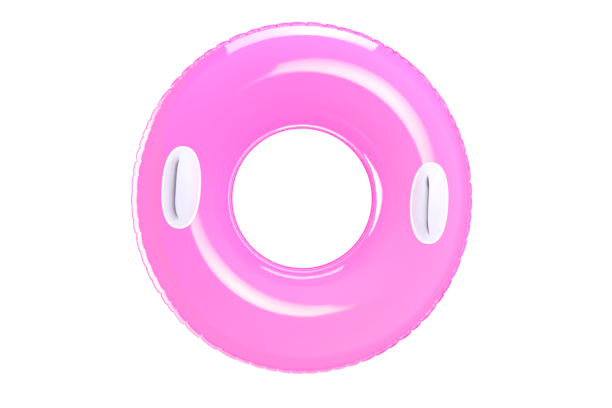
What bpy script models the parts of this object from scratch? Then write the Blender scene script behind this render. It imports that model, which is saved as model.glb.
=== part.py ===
# Inflatable swim ring with two moulded grab handles and a push-in air valve.
# Two vinyl sheets are welded together round the outside and round the hole. Blown up, the outer
# weld is too long for its new place, so it gathers into puckers that run a little way up the tube.
# The ring lies on its back sheet. +Z is up, the handles are at -X and +X.

import math

import bmesh
import bpy
from mathutils import Matrix, Vector

# Ring, metres
RING_LENGTH = 0.760          # along Y, over the gathered rim
RING_WIDTH = 0.737           # along X, where the handles draw the tube in
HOLE_DIAMETER = 0.299
OUTER_MARGIN = 0.0070        # width of the welded margin outside the tube
INNER_MARGIN = 0.0050        # width of the welded margin inside the hole
TUBE_RISE = 0.108            # from the seams' plane to the top of the tube, as a full curve
SHEET_THICKNESS = 0.0004
WELD_THICKNESS = 0.0008      # two sheets fused together
WELD_TUCK = 0.0030           # how far each welded margin reaches in between the sheets
PINCH = 0.55                 # 0.5 gives an oval tube, more draws it to an edge at the seams

# Puckers of the outer seam
PLEATS = 72
PLEAT_DEPTH = 0.0042         # how far a notch is drawn in behind the lobes beside it
PLEAT_REACH = 0.026          # how fast the crease fades on its way up the tube
PLEAT_WAVE = 0.0018          # how far the seam climbs at one lobe and dips at the next
PLEAT_TILT = 100             # growth of that wave to each metre across the margin
PLEAT_DRIFTS = ((3, 0.030, 0.4), (7, 0.018, 1.9), (11, 0.012, 4.0))
PLEAT_SWELLS = ((5, 0.20, 1.1), (13, 0.22, 0.3))

# Rows of a sheet, degrees round the tube from the inner seam to the outer one
FRONT_ROWS = (0, 22, 44, 62, 74, 84.8, 95.2, 106, 118, 132, 146, 163, 180)
BACK_ROWS = (0, 22, 44, 64, 84.8, 95.2, 114, 130, 146, 163, 180)
GATHER_START = 140           # rows past this angle have a column in each notch
MARGIN_STEPS = 4             # columns to each lobe of the outer margin

# Handles
HANDLE_LENGTH = 0.176
HANDLE_WIDTH = 0.082
HANDLE_FLANGE = 0.0060       # flat rim that is welded to the front sheet
HANDLE_WALL = 0.0016
HANDLE_RISE = 0.0240         # top of the dome above the sheet
HANDLE_CREST = 0.60          # where the dome is highest, as a share of the way to the slot
HANDLE_LIP_DROP = 0.36       # how far the lips roll down at the slot, as a share of the rise
SLOT_LENGTH = 0.124
SLOT_WIDTH = 0.0130
LEFT_LEAN = 0.45             # lean of the dome away from the hole, to each metre of its height
RIGHT_LEAN = -0.12
OVAL_POWER = 2.2             # 2 is a true ellipse, more squares it up
SLOT_POWER = 3.2
DOME_POWER = 0.85            # less makes the dome's foot steeper
LIP_POWER = 1.8              # more keeps the lips level until close to the slot
TAPER_POWER = 2.5            # how late the dome falls towards the handle's ends
HANDLE_POINTS = 26
HANDLE_RINGS = (0.30, 0.43, 0.60, 0.78, 0.91, 1.0)

# Air valve. Each part's width is set from the one it fits.
VALVE_ROW = 139              # its place on the back sheet, degrees round the tube
VALVE_COLUMN = -90           # and round the ring
VALVE_HOLE_DIAMETER = 0.0260
FLANGE_LAP = 0.0040          # how far the flange reaches under the sheet round the hole
FLANGE_LEDGE = 0.0014        # and how far it shows inside the hole
FLANGE_THICKNESS = 0.0010
VALVE_PAD_MARGIN = 0.0055    # the sheet lies flat this far past the flange
VALVE_PAD_FADE = 0.0150
VALVE_PAD_STEPS = 2          # how finely the sheet is divided there
SKIRT_THICKNESS = 0.0006
SKIRT_LAP = 0.0024           # how far the skirt is welded under the flange
SKIRT_BEND = 0.0012          # rounds the skirt's two folds
STEM_DIAMETER = 0.0124
STEM_BORE = 0.0084
STEM_LENGTH = 0.0115
STEM_SINK = 0.0010           # the pressed-in mouth lies this far below the sheet
MOUTH_CHAMFER = 0.0004
BEAD_LIP = 0.0006            # how far the mouth's bead stands out from the stem
BEAD_HEIGHT = 0.0012
BEAD_SLOPE = 0.0002
COLLAR_LIP = 0.0022
COLLAR_THICKNESS = 0.0010
COLLAR_RAISE = 0.0018        # from the stem's inner end to the collar
TETHER_THICKNESS = 0.0009
TETHER_WIDTH = 0.0030
TETHER_RING_WALL = 0.0010
CAP_OVERHANG = 0.0001        # how far the plug's cap stands out past the bead
CAP_THICKNESS = 0.0014
CAP_CHAMFER = 0.0005
HINGE_OVERHANG = 0.0025      # from the cap's edge to the hinge line
PIN_CLEARANCE = 0.0003       # between the pin and the stem's bore
PIN_LENGTH = 0.0045
TAB_OVERHANG = 0.0031        # from the cap's edge to the tip of the pull tab
TAB_WIDTH = 0.0056
STRAP_THICKNESS = 0.0008
FLAP_INSET = 0.0004          # from the stem's outside to the flap's edge
FLAP_THICKNESS = 0.0007
ROUND_STEPS = 20

GAP = 0.0003                 # between pieces that touch

# Worked out from the sizes above
OUTER_RADIUS = RING_LENGTH / 2
HOLE_RADIUS = HOLE_DIAMETER / 2
DRAW_IN = (RING_LENGTH - RING_WIDTH) / 2
TUBE_OUTER = OUTER_RADIUS - OUTER_MARGIN
TUBE_INNER = HOLE_RADIUS + INNER_MARGIN
TUBE_CENTRE = (TUBE_OUTER + TUBE_INNER) / 2
TUBE_HALF_WIDTH = (TUBE_OUTER - TUBE_INNER) / 2
EDGE_LIFT = WELD_THICKNESS / 2 + GAP
FLANGE_SHARE = HANDLE_FLANGE / ((HANDLE_WIDTH - SLOT_WIDTH) / 2)
FLANGE_DIAMETER = VALVE_HOLE_DIAMETER + 2 * FLANGE_LAP
FLANGE_BORE = VALVE_HOLE_DIAMETER - 2 * FLANGE_LEDGE
VALVE_PAD_RADIUS = FLANGE_DIAMETER / 2 + VALVE_PAD_MARGIN
CAP_RADIUS = STEM_DIAMETER / 2 + BEAD_LIP + CAP_OVERHANG
HINGE_REACH = CAP_RADIUS + HINGE_OVERHANG
PIN_RADIUS = STEM_BORE / 2 - PIN_CLEARANCE
# The pin tapers so that its far edge clears the bore as the plug swings out
PIN_TIP_RADIUS = PIN_RADIUS - PIN_CLEARANCE / 3 - PIN_LENGTH ** 2 / (2 * (HINGE_REACH + PIN_RADIUS))


def row_height(row):
    """Height of the tube over the seams' plane, at an angle in degrees from the inner seam."""
    return EDGE_LIFT + TUBE_RISE * math.sin(math.radians(row)) ** (2 * PINCH)


# The back sheet is flat between the two rows beside its lowest line, and the ring rests there
REST_ROW = BACK_ROWS[4]
SEAM_HEIGHT = row_height(REST_ROW)


def clear_scene():
    for item in list(bpy.data.objects):
        bpy.data.objects.remove(item, do_unlink=True)


def new_collection(name):
    made = bpy.data.collections.new(name)
    bpy.context.scene.collection.children.link(made)
    return made


def linear(channel):
    """One channel of a screen colour, 0 to 255, as light."""
    share = channel / 255
    return share / 12.92 if share <= 0.04045 else ((share + 0.055) / 1.055) ** 2.4


def new_material(name, colour, roughness):
    made = bpy.data.materials.new(name)
    made.use_nodes = True
    shader = made.node_tree.nodes["Principled BSDF"]
    shader.inputs["Base Color"].default_value = (*(linear(c) for c in colour), 1)
    shader.inputs["Roughness"].default_value = roughness
    shader.inputs["Metallic"].default_value = 0
    return made


def add_object(name, bm, material, home):
    """A bmesh as a named object with smooth faces and sharp corners."""
    mesh = bpy.data.meshes.new(name)
    bm.to_mesh(mesh)
    bm.free()
    made = bpy.data.objects.new(name, mesh)
    home.objects.link(made)
    if material:
        mesh.materials.append(material)
    mesh.shade_smooth()
    mesh.set_sharp_from_angle(angle=math.radians(40))
    return made


def loft(bm, loops, closed_on_itself):
    """Faces between loops of as many points each, and from the last loop back to the first."""
    rings = [[bm.verts.new(point) for point in loop] for loop in loops]
    pairs = list(zip(rings, rings[1:]))
    if closed_on_itself:
        pairs.append((rings[-1], rings[0]))
    for lower, upper in pairs:
        for i in range(len(lower)):
            j = (i + 1) % len(lower)
            bm.faces.new((lower[i], lower[j], upper[j], upper[i]))
    bmesh.ops.recalc_face_normals(bm, faces=bm.faces)


def pleat(column):
    """How far the seam is drawn in, 0 on a lobe and 1 in a notch, at an angle round the ring."""
    return 1 - abs(math.cos(PLEATS * column / 2))


def pleat_depth(column):
    swell = sum(share * math.sin(count * column + start) for count, share, start in PLEAT_SWELLS)
    return PLEAT_DEPTH * (1 + swell)


def seam_wave(column):
    """Rise of the seam at an angle round the ring, even from each notch to the lobes beside it."""
    place = PLEATS * column / (2 * math.pi) % 2
    return PLEAT_WAVE * (1 - 2 * min(place, 2 - place))


def place_on_ring(column, radius, height):
    """A point of the round, even ring moved to where the gathered and drawn-in ring has it."""
    drift = sum(size * math.sin(count * column + start) for count, size, start in PLEAT_DRIFTS)
    angle = column + drift
    span = OUTER_RADIUS - HOLE_RADIUS
    squeeze = DRAW_IN * math.cos(angle) ** 2 * (radius - HOLE_RADIUS) / span
    reach = radius - squeeze
    return Vector((reach * math.cos(angle), reach * math.sin(angle), height))


def tube_point(row, side):
    """Radius and height of a sheet's outer face at a row. side is 1 for the front, -1 for the back."""
    radius = TUBE_CENTRE - TUBE_HALF_WIDTH * math.cos(math.radians(row))
    return radius, SEAM_HEIGHT + side * row_height(row)


def tube_normal(row, side):
    """Direction away from the tube's middle, as shares along the radius and up."""
    across = -math.cos(math.radians(row)) / TUBE_HALF_WIDTH
    up = side * math.sin(math.radians(row)) / TUBE_RISE
    size = math.hypot(across, up)
    return across / size, up / size


def gather(bm, side):
    """Draws the outer rows in at each notch, fading up the tube, and bends the ring to its outline."""
    for vertex in bm.verts:
        radius = vertex.co.xy.length
        column = math.atan2(vertex.co.y, vertex.co.x)
        share = (radius - TUBE_CENTRE) / TUBE_HALF_WIDTH
        from_seam = TUBE_HALF_WIDTH * math.acos(max(-1, min(1, share)))
        row = 180 - math.degrees(from_seam / TUBE_HALF_WIDTH)
        fade = math.exp(-from_seam / PLEAT_REACH)
        drawn = pleat_depth(column) * pleat(column) * fade
        across, up = tube_normal(row, side)
        height = vertex.co.z - drawn * up + seam_wave(column) * fade
        vertex.co = place_on_ring(column, radius - drawn * across, height)


def sheet_surface(rows, side):
    """The outer face of one sheet: a profile spun round the ring, then gathered at the rim."""
    bm = bmesh.new()
    profile = []
    for row in rows:
        radius, height = tube_point(row, side)
        profile.append(bm.verts.new((radius, 0, height)))
    edges = [bm.edges.new(pair) for pair in zip(profile, profile[1:])]
    bmesh.ops.spin(bm, geom=profile + edges, cent=(0, 0, 0), axis=(0, 0, 1),
                   angle=2 * math.pi, steps=PLEATS, use_merge=True)
    fine_radius = tube_point(GATHER_START, side)[0]
    rim = [edge for edge in bm.edges
           if abs(edge.verts[0].co.z - edge.verts[1].co.z) < 1e-6
           and edge.verts[0].co.xy.length > fine_radius]
    split = bmesh.ops.subdivide_edges(bm, edges=rim, cuts=1, use_single_edge=True)
    for item in split["geom_inner"]:
        if isinstance(item, bmesh.types.BMVert):
            item.co.xy /= math.cos(math.pi / PLEATS)
    gather(bm, side)
    bmesh.ops.recalc_face_normals(bm, faces=bm.faces)
    crest = max(bm.faces, key=lambda face: side * face.calc_center_median().z)
    if crest.normal.z * side < 0:
        bmesh.ops.reverse_faces(bm, faces=bm.faces)
    return bm


def add_wall(item, thickness, offset=-1):
    wall = item.modifiers.new("wall", "SOLIDIFY")
    wall.thickness = thickness
    wall.offset = offset
    wall.use_even_offset = True


def add_margin(name, near_radius, far_radius, steps, gathered, material, home):
    """A welded margin between two radii. A gathered one follows the lobes of the outer seam."""
    bm = bmesh.new()
    corners = ((near_radius, -1), (far_radius, -1), (far_radius, 1), (near_radius, 1))
    loops = []
    for radius, side in corners:
        loop = []
        for i in range(steps):
            column = 2 * math.pi * i / steps
            drawn = pleat_depth(column) * pleat(column) if gathered else 0
            wave = seam_wave(column) if gathered else 0
            lift = wave * (1 + PLEAT_TILT * (radius - TUBE_OUTER))
            height = SEAM_HEIGHT + side * WELD_THICKNESS / 2 + lift
            loop.append(place_on_ring(column, radius - drawn, height))
        loops.append(loop)
    loft(bm, loops, True)
    return add_object(name, bm, material, home)


def superellipse(angle, half_width, half_length, power):
    """A point of an oval, across and along, whose sides square up as power grows."""
    c = math.cos(angle)
    s = math.sin(angle)
    across = math.copysign(abs(c) ** (2 / power), c) * half_width
    along = math.copysign(abs(s) ** (2 / power), s) * half_length
    return across, along


def seat_height(x, y):
    """Height of the front sheet's outer face over a place near the top of the tube."""
    angle = math.atan2(y, x)
    span = OUTER_RADIUS - HOLE_RADIUS
    squeeze = DRAW_IN * math.cos(angle) ** 2 / span
    radius = (math.hypot(x, y) - squeeze * HOLE_RADIUS) / (1 - squeeze)
    share = (radius - TUBE_CENTRE) / TUBE_HALF_WIDTH
    row = 180 - math.degrees(math.acos(share))
    return SEAM_HEIGHT + row_height(row)


def on_seat(x, y, lift):
    """The point at a distance off the front sheet, square to the sheet, over a place on it."""
    step = 0.001
    slope_x = (seat_height(x + step, y) - seat_height(x - step, y)) / (2 * step)
    slope_y = (seat_height(x, y + step) - seat_height(x, y - step)) / (2 * step)
    normal = Vector((-slope_x, -slope_y, 1)).normalized()
    return Vector((x, y, seat_height(x, y))) + normal * lift


def handle_centre():
    """Distance of the tube's top line from the ring's middle, on the X axis."""
    span = OUTER_RADIUS - HOLE_RADIUS
    return TUBE_CENTRE - DRAW_IN * (TUBE_CENTRE - HOLE_RADIUS) / span


def dome_share(way):
    """Height of the handle's dome, 0 to 1, at a share of the way from its rim to the slot."""
    if way <= FLANGE_SHARE:
        return 0
    if way <= HANDLE_CREST:
        climb = (way - FLANGE_SHARE) / (HANDLE_CREST - FLANGE_SHARE)
        return math.sin(math.pi / 2 * climb) ** DOME_POWER
    past = (way - HANDLE_CREST) / (1 - HANDLE_CREST)
    return 1 - HANDLE_LIP_DROP * past ** LIP_POWER


def handle_loop(way, side, lean):
    """One loop of the handle's outer face, between its rim at 0 and the slot's edge at 1."""
    loop = []
    dome_end = HANDLE_LENGTH / 2 - HANDLE_FLANGE
    for i in range(HANDLE_POINTS):
        angle = 2 * math.pi * i / HANDLE_POINTS
        rim = superellipse(angle, HANDLE_WIDTH / 2, HANDLE_LENGTH / 2, OVAL_POWER)
        slot = superellipse(angle, SLOT_WIDTH / 2, SLOT_LENGTH / 2, SLOT_POWER)
        across = rim[0] + way * (slot[0] - rim[0])
        along = rim[1] + way * (slot[1] - rim[1])
        taper = max(0, 1 - (abs(along) / dome_end) ** TAPER_POWER)
        rise = (HANDLE_RISE - HANDLE_WALL) * dome_share(way) * taper
        x = side * (handle_centre() + across + lean * rise)
        loop.append(on_seat(x, along, GAP + HANDLE_WALL + rise))
    return loop


def add_handle(name, side, lean, material, home):
    bm = bmesh.new()
    loft(bm, [handle_loop(way, side, lean) for way in (0, FLANGE_SHARE, *HANDLE_RINGS)], False)
    if sum(face.normal.z for face in bm.faces) < 0:
        bmesh.ops.reverse_faces(bm, faces=bm.faces)
    made = add_object(name, bm, material, home)
    add_wall(made, HANDLE_WALL)
    return made


def valve_frame():
    """The valve's own frame: its origin on the back sheet's outer face and its Z out of the ring."""
    radius, height = tube_point(VALVE_ROW, -1)
    across, up = tube_normal(VALVE_ROW, -1)
    angle = math.radians(VALVE_COLUMN)
    out = Vector((math.cos(angle), math.sin(angle), 0))
    origin = out * radius + Vector((0, 0, height))
    z_axis = (out * across + Vector((0, 0, up))).normalized()
    x_axis = Vector((0, 0, 1)).cross(out).normalized()
    y_axis = z_axis.cross(x_axis)
    turn = Matrix((x_axis, y_axis, z_axis)).transposed().to_4x4()
    return Matrix.Translation(origin) @ turn


def flatten_pad(bm, frame):
    """Refines the back sheet round the valve and lays it flat under the flange."""
    reach = VALVE_PAD_RADIUS + VALVE_PAD_FADE
    to_valve = frame.inverted()
    near = [face for face in bm.faces
            if min((to_valve @ vertex.co).length for vertex in face.verts) < reach]
    edges = list({edge for face in near for edge in face.edges})
    bmesh.ops.subdivide_edges(bm, edges=edges, cuts=VALVE_PAD_STEPS, use_grid_fill=True)
    for vertex in bm.verts:
        local = to_valve @ vertex.co
        if abs(local.z) > reach:
            continue
        past = (local.xy.length - VALVE_PAD_RADIUS) / VALVE_PAD_FADE
        keep = max(0, min(1, past))
        local.z *= keep * keep * (3 - 2 * keep)
        vertex.co = frame @ local
    bmesh.ops.triangulate(bm, faces=[face for face in bm.faces if len(face.verts) > 4])


def turned(name, points, material, home, closed=True):
    """A turned piece: its outline at +X goes down the outer side and is spun round Z."""
    bm = bmesh.new()
    vertices = [bm.verts.new((radius, 0, height)) for radius, height in points]
    ends = vertices[1:] + vertices[:1] if closed else vertices[1:]
    for pair in zip(vertices, ends):
        bm.edges.new(pair)
    made = add_object(name, bm, material, home)
    screw = made.modifiers.new("turn", "SCREW")
    screw.steps = ROUND_STEPS
    screw.render_steps = ROUND_STEPS
    screw.use_merge_vertices = True
    screw.merge_threshold = 0.00001
    screw.use_smooth_shade = True
    return made


def box(name, low, high, material, home):
    bm = bmesh.new()
    bmesh.ops.create_cube(bm, size=1)
    low = Vector(low)
    high = Vector(high)
    size = high - low
    bmesh.ops.scale(bm, vec=size, verts=bm.verts)
    bmesh.ops.translate(bm, vec=(low + high) / 2, verts=bm.verts)
    return add_object(name, bm, material, home)


def disc(name, diameter, bottom, top, centre, material, home):
    bm = bmesh.new()
    bmesh.ops.create_cone(bm, cap_ends=True, segments=ROUND_STEPS, radius1=diameter / 2,
                          radius2=diameter / 2, depth=top - bottom)
    bmesh.ops.translate(bm, vec=(*centre, (top + bottom) / 2), verts=bm.verts)
    return add_object(name, bm, material, home)


def combine(target, tool, operation):
    """Joins a helper to a piece, or cuts it out, and leaves the helper as a guide."""
    step = target.modifiers.new(tool.name, "BOOLEAN")
    step.operation = operation
    step.solver = "EXACT"
    step.object = tool
    tool.hide_render = True
    tool.display_type = "WIRE"


def hang_on(name, pivot, piece, parent, home):
    """Parents a moving piece to an empty on its hinge line, with the piece left where it was."""
    hinge = bpy.data.objects.new(name, None)
    home.objects.link(hinge)
    hinge.parent = parent
    hinge.location = pivot
    piece.parent = hinge
    piece.location = -Vector(pivot)


def main():
    clear_scene()
    parts = new_collection("swim_ring")
    helpers = new_collection("swim_ring_helpers")

    pink = new_material("pink_vinyl", (255, 130, 234), 0.18)
    deep_pink = new_material("welded_margin", (252, 112, 214), 0.25)
    white = new_material("white_vinyl", (243, 241, 251), 0.35)
    clear = new_material("valve_vinyl", (236, 236, 240), 0.30)

    # Ring
    ring = bpy.data.objects.new("ring_middle", None)
    parts.objects.link(ring)
    front = add_object("front_sheet", sheet_surface(FRONT_ROWS, 1), pink, parts)
    add_wall(front, SHEET_THICKNESS)
    back_shape = sheet_surface(BACK_ROWS, -1)
    frame = valve_frame()
    flatten_pad(back_shape, frame)
    back = add_object("back_sheet", back_shape, pink, parts)
    add_wall(back, SHEET_THICKNESS)
    outer = add_margin("outer_seam", TUBE_OUTER - WELD_TUCK, OUTER_RADIUS,
                       PLEATS * MARGIN_STEPS, True, deep_pink, parts)
    inner = add_margin("inner_seam", HOLE_RADIUS, TUBE_INNER + WELD_TUCK, PLEATS, False,
                       deep_pink, parts)
    left = add_handle("left_handle", -1, LEFT_LEAN, white, parts)
    right = add_handle("right_handle", 1, RIGHT_LEAN, white, parts)
    for piece in (front, back, outer, inner, left, right):
        piece.parent = ring

    # Valve, in its own frame: heights are measured outwards from the sheet's outer face
    valve = bpy.data.objects.new("valve_middle", None)
    parts.objects.link(valve)
    valve.matrix_world = frame
    hole = disc("valve_hole", VALVE_HOLE_DIAMETER, -FLANGE_LAP, FLANGE_LAP, (0, 0), None, helpers)
    hole.matrix_world = frame
    combine(back, hole, "DIFFERENCE")

    flange_top = -SHEET_THICKNESS - GAP
    flange_bottom = flange_top - FLANGE_THICKNESS
    bore = FLANGE_BORE / 2
    flange = turned("valve_flange", [
        (FLANGE_DIAMETER / 2, flange_top),
        (FLANGE_DIAMETER / 2, flange_bottom),
        (bore, flange_bottom),
        (bore, flange_top)], clear, parts)
    flange.parent = valve

    mouth = -STEM_SINK
    bead_bottom = mouth - BEAD_HEIGHT
    stem_end = mouth - STEM_LENGTH
    collar_bottom = stem_end + COLLAR_RAISE
    collar_top = collar_bottom + COLLAR_THICKNESS
    stem_radius = STEM_DIAMETER / 2
    bead_radius = stem_radius + BEAD_LIP
    collar_radius = stem_radius + COLLAR_LIP
    stem = turned("valve_stem", [
        (bead_radius - MOUTH_CHAMFER, mouth),
        (bead_radius, mouth - MOUTH_CHAMFER),
        (bead_radius, bead_bottom),
        (stem_radius, bead_bottom - BEAD_SLOPE),
        (stem_radius, collar_top),
        (collar_radius, collar_top),
        (collar_radius, collar_bottom),
        (stem_radius, collar_bottom),
        (stem_radius, stem_end),
        (STEM_BORE / 2, stem_end),
        (STEM_BORE / 2, mouth - MOUTH_CHAMFER),
        (STEM_BORE / 2 + MOUTH_CHAMFER, mouth)], clear, parts)
    stem.parent = valve

    skirt_rim = flange_bottom - GAP - SKIRT_THICKNESS / 2
    skirt_foot = collar_bottom - GAP - SKIRT_THICKNESS / 2
    skirt = turned("valve_skirt", [
        (bore + SKIRT_LAP, skirt_rim),
        (bore, skirt_rim),
        (bore - SKIRT_BEND, skirt_rim - SKIRT_BEND),
        (collar_radius + SKIRT_BEND, skirt_foot + SKIRT_BEND),
        (collar_radius, skirt_foot),
        (stem_radius + GAP, skirt_foot)], clear, parts, closed=False)
    add_wall(skirt, SKIRT_THICKNESS, 0)
    skirt.parent = valve

    # The tether is a ring round the stem with an arm and a post that carries the plug's hinge
    ring_top = bead_bottom - BEAD_SLOPE - GAP
    ring_bottom = ring_top - TETHER_THICKNESS
    ring_bore = stem_radius + GAP
    ring_radius = ring_bore + TETHER_RING_WALL
    tether = turned("valve_tether", [
        (ring_radius, ring_top),
        (ring_radius, ring_bottom),
        (ring_bore, ring_bottom),
        (ring_bore, ring_top)], clear, parts)
    half_width = TETHER_WIDTH / 2
    arm = box("tether_arm", (-half_width, ring_bore + TETHER_RING_WALL / 2, ring_bottom),
              (half_width, HINGE_REACH, ring_top), None, helpers)
    post = box("tether_post", (-half_width, HINGE_REACH - STRAP_THICKNESS, ring_bottom),
               (half_width, HINGE_REACH, mouth), None, helpers)
    for tool in (arm, post):
        tool.parent = valve
        combine(tether, tool, "UNION")
    tether.parent = valve

    cap_bottom = mouth + GAP
    cap_top = cap_bottom + CAP_THICKNESS
    plug = turned("valve_plug", [
        (0, cap_top),
        (CAP_RADIUS - CAP_CHAMFER, cap_top),
        (CAP_RADIUS, cap_top - CAP_CHAMFER),
        (CAP_RADIUS, cap_bottom),
        (PIN_RADIUS, cap_bottom),
        (PIN_TIP_RADIUS, cap_bottom - PIN_LENGTH),
        (0, cap_bottom - PIN_LENGTH)], clear, parts, closed=False)
    strap_top = cap_bottom + STRAP_THICKNESS
    strap = box("plug_strap", (-half_width, CAP_RADIUS - STRAP_THICKNESS, cap_bottom),
                (half_width, HINGE_REACH, strap_top), None, helpers)
    tab_middle = TAB_WIDTH / 2 - CAP_RADIUS - TAB_OVERHANG
    tab = disc("plug_tab", TAB_WIDTH, cap_bottom, strap_top, (0, tab_middle), None, helpers)
    for tool in (strap, tab):
        tool.parent = valve
        combine(plug, tool, "UNION")
    hang_on("plug_pivot", (0, HINGE_REACH, mouth + GAP / 2), plug, valve, parts)

    flap_top = stem_end - GAP
    flap_radius = stem_radius - FLAP_INSET
    flap = disc("valve_flap", 2 * flap_radius, flap_top - FLAP_THICKNESS, flap_top, (0, 0), clear,
                parts)
    hang_on("flap_pivot", (0, flap_radius, flap_top), flap, valve, parts)


main()
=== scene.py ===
"""A blown-up vinyl swim ring with two white grab handles and a push-in air valve.

The ring lies on its back sheet, +Z is up, the handles are at -X and +X. Sizes are in metres.
"""

import math
import random

import bmesh
import bpy
from mathutils import Matrix, Vector


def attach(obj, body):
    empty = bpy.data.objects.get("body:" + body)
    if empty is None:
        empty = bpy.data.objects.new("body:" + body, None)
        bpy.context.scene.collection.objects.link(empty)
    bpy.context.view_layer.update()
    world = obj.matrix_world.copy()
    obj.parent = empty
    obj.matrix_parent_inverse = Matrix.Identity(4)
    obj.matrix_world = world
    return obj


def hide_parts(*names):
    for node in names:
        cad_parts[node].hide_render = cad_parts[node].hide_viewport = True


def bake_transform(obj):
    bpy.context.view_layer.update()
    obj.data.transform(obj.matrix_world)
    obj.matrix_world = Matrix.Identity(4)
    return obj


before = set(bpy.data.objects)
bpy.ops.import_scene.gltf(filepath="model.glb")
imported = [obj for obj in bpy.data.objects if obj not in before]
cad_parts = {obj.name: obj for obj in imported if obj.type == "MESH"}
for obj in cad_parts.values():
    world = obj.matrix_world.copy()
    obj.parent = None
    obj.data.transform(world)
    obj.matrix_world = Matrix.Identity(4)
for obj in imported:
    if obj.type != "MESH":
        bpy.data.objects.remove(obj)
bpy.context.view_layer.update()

# The ring, as it was sized for its solids, apart from the hole's small shift
OUTER_RADIUS = 0.380
HOLE_RADIUS = 0.1495
DRAW_IN = 0.0115
HOLE_SHIFT = (-0.0015, -0.0028)
TUBE_OUTER = 0.373
TUBE_INNER = 0.1545
TUBE_CENTRE = (TUBE_OUTER + TUBE_INNER) / 2
TUBE_HALF_WIDTH = (TUBE_OUTER - TUBE_INNER) / 2
TUBE_RISE = 0.108
TUBE_PINCH = 1.1             # 1 gives an oval tube, more draws it to an edge at the seams
REST_ROW = 84.8              # degrees round the tube, where it lies on the floor
FILM = 0.0004
WELD = 0.0008
WELD_TUCK = 0.0030           # how far a margin reaches in between the sheets
EDGE_LIFT = WELD / 2 + 0.0003

# Lobes and notches of the gathered seam
LOBES = 72
COLUMNS_A_LOBE = 12
COLUMNS = LOBES * COLUMNS_A_LOBE
WEDGES = 24
KNURLS = 216
CREASE_DEPTH = 0.0064
CREASE_REACH = 0.014
LOBE_DRIFTS = ((3, 0.030, 0.4), (7, 0.018, 1.9), (11, 0.012, 4.0))
LOBE_SWELLS = ((5, 0.20, 1.1), (13, 0.22, 0.3))
FOLD_RISE = 0.0014           # how far one lobe's end lies above the next one's start
FOLD_LAP = 0.0022            # how far they overlap at the margin's edge
LOBE_SLANT = 0.0036          # how much further out one end of a lobe lies
MARGIN_LIFT = 0.07           # the margin turns up this much to each metre of its width
EXTRA_MARGIN = 0.0030        # the margin's width over the solids' own, all round
LEFT_EXTRA = 0.0075          # and more at the left
EXTRA_REACH = 0.030
LEFT_SIDE = (136, 162, 214, 240)   # degrees where the left side's lean starts, is full, and ends
LEFT_LEAN = (0.19, 0.14, 0.09)     # how much the margin there leans to the right and the back
CROWDING = 0.5               # draws the columns towards the notches
ARCH_POWER = 0.32            # the smaller, the squarer a lobe's edge
CREASE_SHARE = 0.13          # of a lobe's length, each side of a notch, that the crease takes
FOLD_SHARE = 0.42            # and that the fold takes
SEAM_SHADE_BLEND = 0.007           # how far the painted shade along the seams, and their glow, reach into the sheets
SKIRT_SHADE_BLEND = 8              # degrees of the tube over which the painted shade on the outer side comes in
RIM_HIGHLIGHT_HALF_WIDTH = 0.0024
INNER_EDGE_WIDTH = 0.0036
EDGE_BLEND = 0.0007

# All of these go by degrees round the ring. How clear the outer margin is, to show the white floor
# where light washes it out, as painted light:
PAINTED_LIGHT_CLEAR_STOPS = ((0, 0), (62, 0), (80, 0.14), (108, 0.10), (122, 0.05), (142, 0.12), (158, 0.93),
               (214, 0.93), (236, 0.5), (252, 0.28), (285, 0.2), (302, 0), (360, 0))
# How much its cut edge shows, how wide that is, and how much painted shade deepens its colour:
EDGE_STOPS = ((0, 0.45), (40, 0.6), (62, 1), (125, 1), (142, 0.7), (225, 0.8), (245, 0.35),
              (250, 0.12), (288, 0.12), (302, 1), (328, 1), (345, 0.45), (360, 0.45))
EDGE_WIDTHS = ((0, 0.0026), (136, 0.0026), (160, 0.0014), (230, 0.0014), (246, 0.0026),
               (292, 0.0022), (304, 0.0028), (326, 0.0028), (338, 0.0022), (360, 0.0026))
EDGE_SHADE_STOPS = ((0, 0.3), (20, 0), (292, 0), (306, 1), (324, 1), (344, 0.3), (360, 0.3))
# The row of the tube from which its outer side is painted deeper and warmer, as shade:
SKIRT_SHADE_ROWS = ((0, 134), (25, 140), (45, 152), (60, 160), (120, 158), (170, 114), (192, 115),
               (215, 122), (238, 130), (262, 130), (288, 132), (318, 136), (345, 133), (360, 134))
# How strong the painted highlight line round the hole's rim is, and its radius:
RIM_HIGHLIGHT_STOPS = ((0, 0.1), (25, 0.15), (52, 0.9), (200, 1), (270, 1), (300, 0.45), (320, 0.35),
              (345, 0.25), (360, 0.15))
RIM_HIGHLIGHT_RADII = ((0, 0.1575), (60, 0.1558), (110, 0.1556), (160, 0.1585), (200, 0.1601), (270, 0.1590),
              (360, 0.1575))
INNER_CLEAR = 0.90           # how clear the inner margin is

dice = random.Random(11)


# Values and nodes of a material

class Wire:
    """A value on its way through a material. Sums on it add Math nodes."""

    def __init__(self, finish, socket):
        self.finish = finish
        self.socket = socket

    def sum(self, operation, first, second):
        return self.finish.node("ShaderNodeMath", {"operation": operation}, {0: first, 1: second})

    def __add__(self, other):
        return self.sum("ADD", self, other)

    def __radd__(self, other):
        return self.sum("ADD", other, self)

    def __sub__(self, other):
        return self.sum("SUBTRACT", self, other)

    def __rsub__(self, other):
        return self.sum("SUBTRACT", other, self)

    def __mul__(self, other):
        return self.sum("MULTIPLY", self, other)

    def __rmul__(self, other):
        return self.sum("MULTIPLY", other, self)

    def __pow__(self, other):
        return self.sum("POWER", self, other)


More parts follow.
